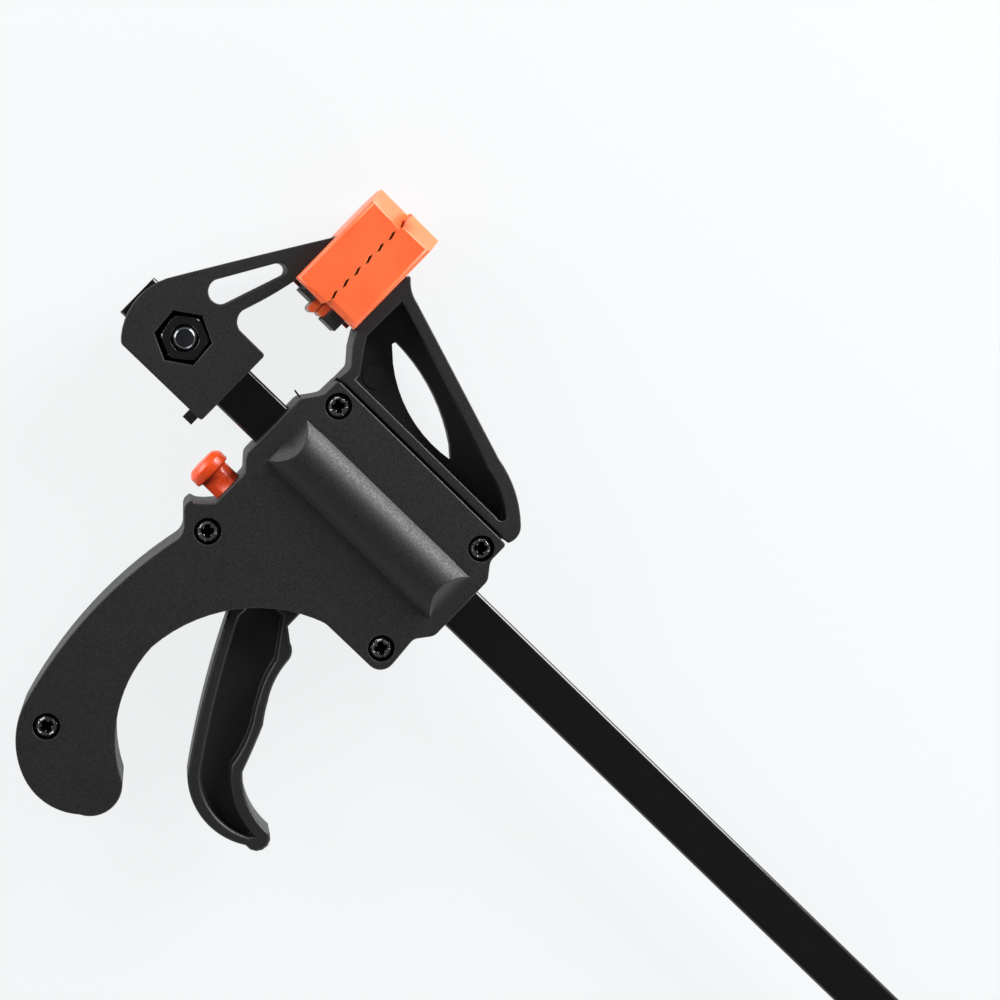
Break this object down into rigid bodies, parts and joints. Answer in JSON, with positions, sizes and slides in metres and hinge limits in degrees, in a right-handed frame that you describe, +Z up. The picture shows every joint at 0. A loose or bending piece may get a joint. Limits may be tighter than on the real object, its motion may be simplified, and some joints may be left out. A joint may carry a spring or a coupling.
{
  "type": "bar clamp",
  "caption": "Small trigger-driven bar clamp with a quick release button, cushioned jaws, a curved pistol handle and a flat steel bar, shown closed.",
  "frame": {"origin": "middle of the clamp's footprint as it lies on its side, on the surface it rests on", "axes": "+X along the bar from the fixed jaw to the bar's free end, +Y from the handle to the jaws' tips, +Z up out of the screwed side of the casing"},
  "size_m": [0.187, 0.1114, 0.02],
  "materials": {
    "bar_steel": "gloss black finish on rolled steel",
    "pin_steel": "plain turned steel",
    "body_plastic": "fine spark texture, satin",
    "trigger_plastic": "satin",
    "black_steel": "black oxide",
    "pad_rubber": "smooth soft plastic, slightly translucent",
    "button_plastic": "moulded gloss",
    "plate_steel": "stamped and hardened",
    "spring_steel": "drawn wire"
  },
  "bodies": {
    "casing": {"rear_casing": "body_plastic", "front_casing": "body_plastic", "sliding_jaw_pad": "pad_rubber", "casing_screw_1": "black_steel", "casing_screw_2": "black_steel", "casing_screw_3": "black_steel", "casing_screw_4": "black_steel", "casing_screw_5": "black_steel", "trigger_pin": "pin_steel", "drive_spring": "spring_steel", "brake_spring": "spring_steel"},
    "bar_and_jaw": {"bar": "bar_steel", "stop_pin": "pin_steel", "fixed_jaw": "body_plastic", "fixed_jaw_bolt": "black_steel", "fixed_jaw_nut": "black_steel", "fixed_jaw_pad": "pad_rubber"},
    "trigger_lever": {"trigger": "trigger_plastic"},
    "drive_plates": {"drive_plate_1": "plate_steel", "drive_plate_2": "plate_steel"},
    "brake": {"brake_plate": "plate_steel"},
    "button": {"release_button": "button_plastic"}
  },
  "joints": [
    {"name": "bar_slide", "type": "slide", "parent": "casing", "child": "bar_and_jaw", "axis": [-1, 0, 0], "range_m": [0, 0.105]},
    {"name": "drive_slide", "type": "slide", "parent": "casing", "child": "drive_plates", "axis": [1, 0, 0], "range_m": [0, 0.00207], "stiffness_N_per_m": 1500, "springref_m": -0.002, "deforming": ["drive_spring"]},
    {"name": "trigger_squeeze", "type": "hinge", "parent": "casing", "child": "trigger_lever", "pos_m": [-0.0423, 0.00055, 0.01], "axis": [0, 0, -1], "range_deg": [0, 17]},
    {"name": "button_press", "type": "slide", "parent": "casing", "child": "button", "axis": [1, 0, 0], "range_m": [0, 0.0018], "stiffness_N_per_m": 800, "springref_m": -0.002, "deforming": ["brake_spring"]},
    {"name": "brake_tilt", "type": "hinge", "parent": "casing", "child": "brake", "pos_m": [-0.0548, 0.02385, 0.01], "axis": [0, 0, 1], "range_deg": [0, 5.2]}
  ],
  "couplings": [
    {"joint": "trigger_squeeze", "follows": "drive_slide", "rad_per_m": 142.86},
    {"joint": "brake_tilt", "follows": "button_press", "rad_per_m": 45.87}
  ]
}
